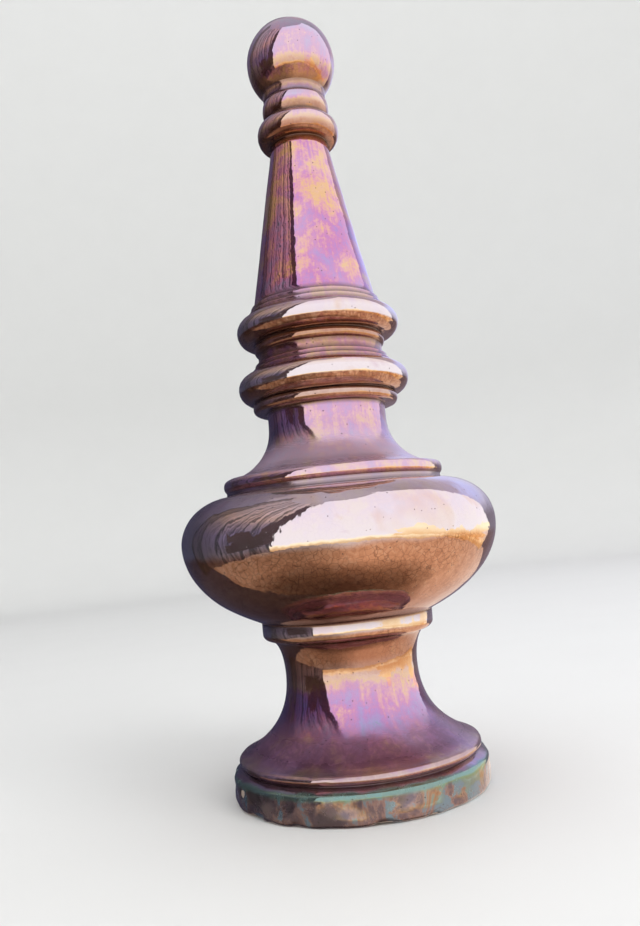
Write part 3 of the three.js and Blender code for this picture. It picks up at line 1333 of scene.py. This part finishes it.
    def _flaws_and_crease_shade(self, w: Wiring, place: object, colour: object, crease: object,
               down: object) -> bpy.types.NodeSocket:
        """Crackle lines, dark pits, and creases darkened partly as grime and partly as painted shade.

        Args:
            w: The finish's wiring.
            place: The coordinates to read.
            colour: The colour without flaws.
            crease: How deep in a crease the surface lies.
            down: How far it faces down, where the crackle shows most.

        Returns:
            The colour with the flaws and the painted crease shade.
        """
        wander = w.add("ShaderNodeTexNoise")
        w.feed(wander, "Vector", place)
        w.feed(wander, "Scale", 180)
        drift = w.vector("MULTIPLY", wander.outputs["Color"], (0.002, 0.002, 0.002))
        lines = w.cells(w.vector("ADD", place, drift), self.crackle, "DISTANCE_TO_EDGE")
        crackle = w.spread(lines.outputs["Distance"], 0.0, self.crackle_width, self.crackle_strength, 0)
        crackle = w.maths("MULTIPLY", crackle, w.maths("MULTIPLY_ADD", down, 0.95, 0.05))
        patchy = w.spread(w.noise(place, 30, 3), 0.38, 0.56, 0.2, 1)
        colour = w.blend(w.maths("MULTIPLY", crackle, patchy), colour, Film.CRACK.value)
        pits = w.maths("MULTIPLY", self._pits(w, place), self.pit_strength)
        colour = w.blend(pits, colour, Film.DIRT_AND_SHADE.value)
        # Grime and painted shade: the creases between mouldings are darkened to near-black.
        return w.blend(w.maths("MULTIPLY", crease, self.crease_dirt_and_shade), colour, Film.DIRT_AND_SHADE.value)

    def _pits(self, w: Wiring, place: object) -> bpy.types.NodeSocket:
        """Small pits in a few of the cells of a random field.

        Args:
            w: The finish's wiring.
            place: The coordinates to read.

        Returns:
            How deep in a pit each place lies, from 0 to 1.
        """
        cells = w.cells(place, self.pits)
        near = w.spread(cells.outputs["Distance"], *self.pit_size, 1, 0)
        split = w.add("ShaderNodeSeparateColor")
        w.feed(split, 0, cells.outputs["Color"])
        chosen = w.maths("GREATER_THAN", split.outputs[0], self.pit_choice)
        return w.maths("MULTIPLY", near, chosen)

    def _relief(self, w: Wiring, place: object, bare: object) -> bpy.types.NodeSocket:
        """Slow ripples, orange peel, fine pits and rough bare clay.

        Args:
            w: The finish's wiring.
            place: The coordinates to read.
            bare: How bare of glaze it is.

        Returns:
            The normal with the relief.
        """
        normal = w.bump(w.noise(place, 70, 2, 0.5, 0.3), self.ripple_depth)
        normal = w.bump(w.noise(place, 430, 1, 0.5), self.peel_depth, normal)
        normal = w.bump(w.maths("MULTIPLY", self._pits(w, place), -1.0), self.pit_depth, normal)
        grit = w.maths("MULTIPLY", w.noise(place, 900, 3, 0.7), bare)
        return w.bump(grit, self.grit_depth, normal)


@dataclass(frozen=True)
class Card:
    """A studio card that only the glaze mirrors.

    Bearings are in degrees to the right of the camera's place, seen from the middle of the finial,
    and elevations are in degrees above level. The card curves round the finial between its bearings.
    Its tones are colours at elevations, its borders can be ragged by some degrees, slats can break up
    its light, and its left side or its far side can give only a share of its light. Those two sides
    are ranges of the heading from the middle, in which the light changes from its share to its whole.
    """

    name: str
    left: float
    right: float
    low: float
    high: float
    tones: tuple[tuple[float, Colour], ...]
    distance: float = 3.0
    lean_left: float = 0.0
    lean_right: float = 0.0
    ragged: float = 0.0
    ragged_top: float = 0.0
    slats: float = 0.0
    left_share: float = 1.0
    far_share: float = 1.0
    middle_height: float = 0.15
    columns: int = 90
    rows: int = 60
    side_turns: float = 5
    top_step: float = 12
    tone_sway: float = 0.15
    left_side: tuple[float, float] = (-0.45, 0.35)
    far_side: tuple[float, float] = (-0.2, 0.4)
    slat_light: tuple[float, float] = (0.3, 1.8)

    def build(self) -> bpy.types.Object:
        """Make the card and hide it from the camera and from soft light.

        Returns:
            The card.
        """
        columns, rows = self.columns, self.rows
        across, up = np.meshgrid(np.linspace(0, 1, columns + 1), np.linspace(0, 1, rows + 1))
        left = self.left + self.lean_left * up + self.ragged * self._wander(up * self.side_turns, 1)
        right = self.right + self.lean_right * up + self.ragged * self._wander(up * self.side_turns, 2)
        bearing = left + (right - left) * across
        top = self.high + self.ragged_top * self._wander(bearing / self.top_step, 3)
        elevation = np.radians(self.low + (top - self.low) * up)
        level = self.distance * np.cos(elevation)
        height = self.middle_height + self.distance * np.sin(elevation)
        turned = np.radians(bearing)
        places = np.stack([level * np.sin(turned), -level * np.cos(turned), height], axis=2)
        wide = columns + 1
        faces = [
            (j * wide + i, j * wide + i + 1, (j + 1) * wide + i + 1, (j + 1) * wide + i)
            for j in range(rows) for i in range(columns)
        ]
        mesh = bpy.data.meshes.new(self.name)
        mesh.from_pydata(places.reshape(-1, 3).tolist(), [], faces)
        mesh.materials.append(self._glow())
        card = bpy.data.objects.new(self.name, mesh)
        card.visible_camera = False
        card.visible_diffuse = False
        card.visible_shadow = False
        bpy.context.scene.collection.objects.link(card)
        return card

    def _wander(self, along: np.ndarray, which: int) -> np.ndarray:
        """An irregular line, the same one every time.

        Args:
            along: How far along the line to read it.
            which: Which of the card's lines it is.

        Returns:
            A number for each place, mostly between -1 and 1.
        """
        chance = np.random.default_rng(which + len(self.name))
        rates = (1, 2.3, 4.1, 7.9, 15.7)
        usual_reach = 1.6
        parts = [np.sin(along * rate + chance.uniform(0, 6)) / rate**0.6 for rate in rates]
        return sum(parts) / usual_reach

    def _glow(self) -> bpy.types.Material:
        """Light whose colour changes up the card, with slats where it has them.

        Returns:
            The material. Only the glaze's mirror rays find its light, which keeps renders quick.
        """
        w = Wiring(self.name)
        glow = w.add("ShaderNodeEmission")
        place = w.add("ShaderNodeTexCoord").outputs["Object"]
        heading = w.add("ShaderNodeSeparateXYZ")
        middle = (0.0, 0.0, self.middle_height)
        w.feed(heading, 0, w.vector("NORMALIZE", w.vector("SUBTRACT", place, middle)))
        sway = w.maths("SUBTRACT", w.noise(place, 1.6, 4, 0.6), 0.5)
        slope = w.maths("MULTIPLY_ADD", sway, self.tone_sway, heading.outputs["Z"])
        stops = [(0.5 + math.sin(math.radians(at)) / 2, tone) for at, tone in self.tones]
        w.feed(glow, "Color", w.ramp(w.maths("MULTIPLY_ADD", slope, 0.5, 0.5), stops))
        strength = w.spread(heading.outputs["X"], *self.left_side, self.left_share, 1)
        far = w.spread(heading.outputs["Y"], *self.far_side, 1, self.far_share)
        strength = w.maths("MULTIPLY", strength, far)
        if self.slats:
            round_it = w.vector("NORMALIZE", w.vector("MULTIPLY", place, (1, 1, 0)))
            lines = w.noise(round_it, self.slats, 3, 0.75)
            strength = w.maths("MULTIPLY", strength, w.spread(lines, 0.38, 0.62, *self.slat_light))
        w.feed(glow, "Strength", strength)
        w.tree.links.new(glow.outputs[0], w.add("ShaderNodeOutputMaterial").inputs[0])
        w.material.cycles.emission_sampling = "NONE"
        return w.material


@dataclass(frozen=True)
class SoftLight:
    """A wide round light that lights the floor and the clay but isn't mirrored in the glaze."""

    name: str
    place: tuple[float, float, float]
    aim: tuple[float, float, float]
    size: float
    power: float

    def build(self) -> None:
        """Make the light and turn it to its aim."""
        data = bpy.data.lights.new(self.name, "AREA")
        data.shape = "DISK"
        data.size = self.size
        data.energy = self.power
        light = bpy.data.objects.new(self.name, data)
        back = Vector(self.place) - Vector(self.aim)
        turn = back.to_track_quat("Z", "Y").to_matrix().to_4x4()
        light.matrix_world = Matrix.Translation(self.place) @ turn
        light.visible_glossy = False
        light.visible_camera = False
        bpy.context.scene.collection.objects.link(light)


@dataclass(frozen=True)
class Studio:
    """Pale floor and backdrop, a soft light and the cards that the glaze mirrors."""

    floor_radius: float = 2.6
    cove: float = 0.9
    wall_height: float = 4.5
    floor_tone: Colour = (0.74, 0.74, 0.73)
    sky: Colour = (0.98, 0.99, 1.0)
    sky_strength: float = 1.7
    floor_mottle: float = 0.97
    cards: tuple[Card, ...] = (
        Card("table_card", -112, 180, -90, -17, (
            (-82, (0.14, 0.08, 0.06)), (-62, (0.42, 0.29, 0.22)), (-44, (1.20, 0.95, 0.80)),
            (-20, (1.15, 0.95, 0.84))), distance=3.3, left_share=0.40),
        Card("dark_floor_card", -182, -110, -90, -17, (
            (-80, (0.06, 0.045, 0.05)), (-20, (0.06, 0.055, 0.09))), distance=3.25),
        Card("behind_left_card", -182, -120, -21, 62, (
            (2, (0.045, 0.045, 0.085)), (20, (0.055, 0.05, 0.085)), (40, (0.17, 0.15, 0.21)),
            (58, (0.34, 0.30, 0.35))), distance=3.3),
        Card("behind_right_card", 100, 180, -21, 62, (
            (3, (0.26, 0.22, 0.28)), (14, (0.75, 0.74, 0.95)), (27, (0.85, 0.92, 1.40)),
            (35, (0.68, 0.60, 0.72)), (58, (0.58, 0.52, 0.58))), distance=3.3),
        Card("canopy_card", -180, 180, 60, 90, ((62, (0.55, 0.50, 0.53)), (85, (0.70, 0.65, 0.68))),
             distance=3.25),
        Card("slatted_card", -128, -34, -21, 72, (
            (-16, (0.17, 0.13, 0.14)), (-7, (0.14, 0.11, 0.15)), (-1, (0.13, 0.105, 0.17)),
            (14, (0.15, 0.12, 0.21)), (28, (0.26, 0.20, 0.23)), (40, (0.55, 0.40, 0.32)),
            (70, (0.62, 0.52, 0.50))), distance=3.2, slats=13, far_share=0.35, ragged=3),
        Card("narrow_dark_card", -64, -40, -10, 66, ((0, (0.07, 0.035, 0.04)), (60, (0.10, 0.055, 0.06))),
             distance=3.15, lean_left=27, lean_right=20, ragged=2),
        Card("window_card", -51, 134, -20, 74, (
            (-19, (1.25, 0.90, 0.48)), (-15.5, (1.85, 1.62, 1.05)), (-12, (1.45, 1.42, 1.44)),
            (70, (1.45, 1.42, 1.46))), distance=3.1, lean_left=26, lean_right=-24, ragged=2),
        Card("low_dark_card", -86, -51, -12, 15, ((-10, (0.05, 0.028, 0.028)), (20, (0.07, 0.035, 0.04))),
             distance=3.05, ragged=6, ragged_top=8),
        Card("low_gold_card", 40, 128, -16, -7, ((-15, (1.45, 1.00, 0.50)), (-6, (1.75, 1.50, 1.00))),
             distance=3.07, ragged=6, ragged_top=5),
    )
    lights: tuple[SoftLight, ...] = (
        SoftLight("front_right_soft", (1.5, -1.5, 1.9), (0, 0, 0.1), 1.6, 30),
    )

    def build(self) -> None:
        """Make the floor, the backdrop, the lights, the cards and the sky."""
        turn = np.radians(np.linspace(0, 90, 13)).tolist()
        cove = [
            (self.floor_radius + self.cove * math.sin(t), self.cove * (1 - math.cos(t))) for t in turn
        ]
        self._sweep("pale_floor", [(0.005, 0), *cove, (self.floor_radius + self.cove, self.wall_height)])
        for part in (*self.lights, *self.cards):
            part.build()
        world = bpy.data.worlds.new("soft_sky")
        world.use_nodes = True
        background = world.node_tree.nodes["Background"]
        background.inputs["Color"].default_value = (*self.sky, 1)
        background.inputs["Strength"].default_value = self.sky_strength
        bpy.context.scene.world = world
        world.cycles_visibility.glossy = False
        LOG.info("studio: %d cards, %d lights", len(self.cards), len(self.lights))

    def _sweep(self, name: str, outline: list[Point]) -> None:
        """Turn a line into a round floor with its wall.

        Args:
            name: The part's name.
            outline: Distances from the axis and heights, in metres.
        """
        sides = 96
        places = [
            (r * math.sin(2 * math.pi * i / sides), -r * math.cos(2 * math.pi * i / sides), z)
            for r, z in outline for i in range(sides)
        ]
        corners = [(i, (i + 1) % sides) for i in range(sides)]
        faces = [
            (low + i, low + after, low + sides + after, low + sides + i)
            for low in range(0, (len(outline) - 1) * sides, sides) for i, after in corners
        ]
        mesh = bpy.data.meshes.new(name)
        mesh.from_pydata(places, [], faces)
        mesh.polygons.foreach_set("use_smooth", [True] * len(mesh.polygons))
        mesh.materials.append(self._paper())
        part = bpy.data.objects.new(name, mesh)
        part.visible_glossy = False
        bpy.context.scene.collection.objects.link(part)

    def _paper(self) -> bpy.types.Material:
        """Matt pale paper with a very faint mottle.

        Returns:
            The material.
        """
        w = Wiring("pale_paper")
        place = w.add("ShaderNodeTexCoord").outputs["Object"]
        shader = w.add("ShaderNodeBsdfPrincipled")
        low = tuple(self.floor_mottle * tone for tone in self.floor_tone)
        w.feed(shader, "Base Color", w.blend(w.noise(place, 9, 4), low, self.floor_tone))
        w.feed(shader, "Roughness", 0.55)
        w.feed(shader, "Specular IOR Level", 0.25)
        w.tree.links.new(shader.outputs[0], w.add("ShaderNodeOutputMaterial").inputs[0])
        return w.material


@dataclass(frozen=True)
class ViewPoint:
    """The camera, held close and low, looking a little up and tilted to the right."""

    distance: float = 0.5227
    aside: float = -0.007
    eye_height: float = 0.1495
    pitch: float = 5.6
    tilt: float = 5.75
    focal_share: float = 820 / 926
    sensor: float = 36

    def build(self) -> None:
        """Make the camera and set it as the scene's own."""
        data = bpy.data.cameras.new("camera")
        data.sensor_width = self.sensor
        data.lens = self.focal_share * self.sensor
        data.clip_start = 0.01
        camera = bpy.data.objects.new("camera", data)
        place = Matrix.Translation((self.aside, -self.distance, self.eye_height))
        look = Matrix.Rotation(math.radians(90 + self.pitch), 4, "X")
        tilt = Matrix.Rotation(math.radians(-self.tilt), 4, "Z")
        camera.matrix_world = place @ look @ tilt
        bpy.context.scene.collection.objects.link(camera)
        bpy.context.scene.camera = camera
        LOG.info("camera: %.1f mm lens", data.lens)


def main() -> None:
    """Build the view, the studio and the finial."""
    logging.basicConfig(level=logging.INFO, format="%(name)s: %(message)s")
    ViewPoint().build()
    Studio().build()
    body = FinialBody()
    piece = body.build()
    piece.data.materials.append(LustreGlaze().material())
    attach(piece, "root")
    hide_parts(NODE)
    scene = bpy.context.scene
    scene.view_settings.view_transform = "Standard"


if __name__ == "__main__":
    main()
